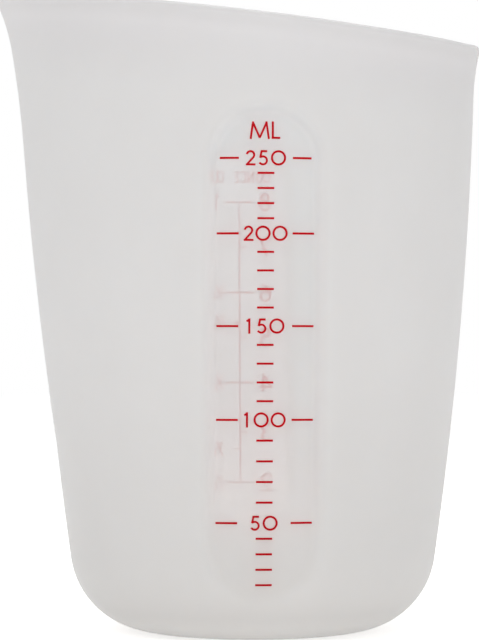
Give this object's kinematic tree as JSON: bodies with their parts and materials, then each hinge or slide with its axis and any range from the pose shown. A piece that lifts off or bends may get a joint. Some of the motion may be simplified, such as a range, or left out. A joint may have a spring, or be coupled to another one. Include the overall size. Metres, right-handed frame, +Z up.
{
  "type": "measuring cup",
  "caption": "Soft translucent silicone measuring cup with a pouring spout, a rim that rises to it, and printed red scales in two recessed windows.",
  "frame": {"origin": "middle of the flat base, on the cup's axis", "axes": "+Z up along the cup's axis, -X towards the pouring spout, -Y towards the millilitre window, +Y towards the ounce and cup window"},
  "size_m": [0.0842, 0.0794, 0.1098],
  "materials": {
    "silicone": "translucent milky silicone, satin",
    "red_ink": "matt silicone ink"
  },
  "bodies": {
    "root": {"cup_1": "red_ink", "cup_1_2": "red_ink", "cup_1_3": "red_ink", "cup_1_4": "red_ink", "cup_2_3": "red_ink", "cup_3_4": "red_ink", "cup_body": "silicone", "kitchen_scale_ladder": "red_ink", "ml_100_dash_left": "red_ink", "ml_100_dash_right": "red_ink", "ml_100_hundreds": "red_ink", "ml_100_tens": "red_ink", "ml_100_units": "red_ink", "ml_10_tick": "red_ink", "ml_110_tick": "red_ink", "ml_120_tick": "red_ink", "ml_130_tick": "red_ink", "ml_140_tick": "red_ink", "ml_150_dash_left": "red_ink", "ml_150_dash_right": "red_ink", "ml_150_hundreds": "red_ink", "ml_150_tens": "red_ink", "ml_150_units": "red_ink", "ml_160_tick": "red_ink", "ml_170_tick": "red_ink", "ml_180_tick": "red_ink", "ml_190_tick": "red_ink", "ml_200_dash_left": "red_ink", "ml_200_dash_right": "red_ink", "ml_200_hundreds": "red_ink", "ml_200_tens": "red_ink", "ml_200_units": "red_ink", "ml_20_tick": "red_ink", "ml_210_tick": "red_ink", "ml_220_tick": "red_ink", "ml_230_tick": "red_ink", "ml_240_tick": "red_ink", "ml_250_dash_left": "red_ink", "ml_250_dash_right": "red_ink", "ml_250_hundreds": "red_ink", "ml_250_tens": "red_ink", "ml_250_units": "red_ink", "ml_30_tick": "red_ink", "ml_40_tick": "red_ink", "ml_50_dash_left": "red_ink", "ml_50_dash_right": "red_ink", "ml_50_tens": "red_ink", "ml_50_units": "red_ink", "ml_60_tick": "red_ink", "ml_70_tick": "red_ink", "ml_80_tick": "red_ink", "ml_90_tick": "red_ink", "ounce_2": "red_ink", "ounce_3": "red_ink", "ounce_4": "red_ink", "ounce_5": "red_ink", "ounce_6": "red_ink", "ounce_7": "red_ink", "ounce_8": "red_ink"}
  },
  "joints": []
}
